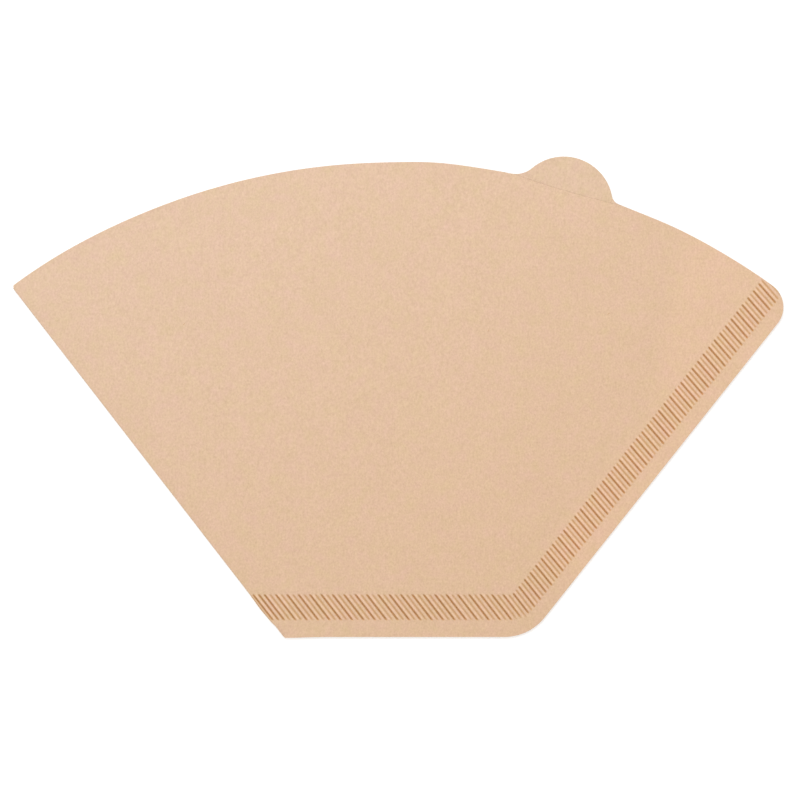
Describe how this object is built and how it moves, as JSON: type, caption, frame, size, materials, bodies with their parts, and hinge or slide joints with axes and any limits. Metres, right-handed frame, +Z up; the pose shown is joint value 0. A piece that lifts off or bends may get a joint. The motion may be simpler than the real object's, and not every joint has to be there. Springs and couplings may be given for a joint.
{
  "type": "paper coffee filter",
  "caption": "Flat folded trapezoid filter pouch in unbleached paper, with crimped bottom and side seams, a folded edge, a curved open mouth and a finger tab.",
  "frame": {"origin": "on the surface that the sheet lies on, under the middle of its bounding box", "axes": "+X along the bottom edge, from the folded edge towards the seam edge; +Y from the bottom edge towards the mouth and its tab; +Z up, out of the front ply"},
  "size_m": [0.1602, 0.1, 0.0016],
  "materials": {
    "unbleached_paper": "matt, unbleached light brown, fine fibre grain"
  },
  "bodies": {
    "root": {"filter_paper": "unbleached_paper"}
  },
  "joints": []
}
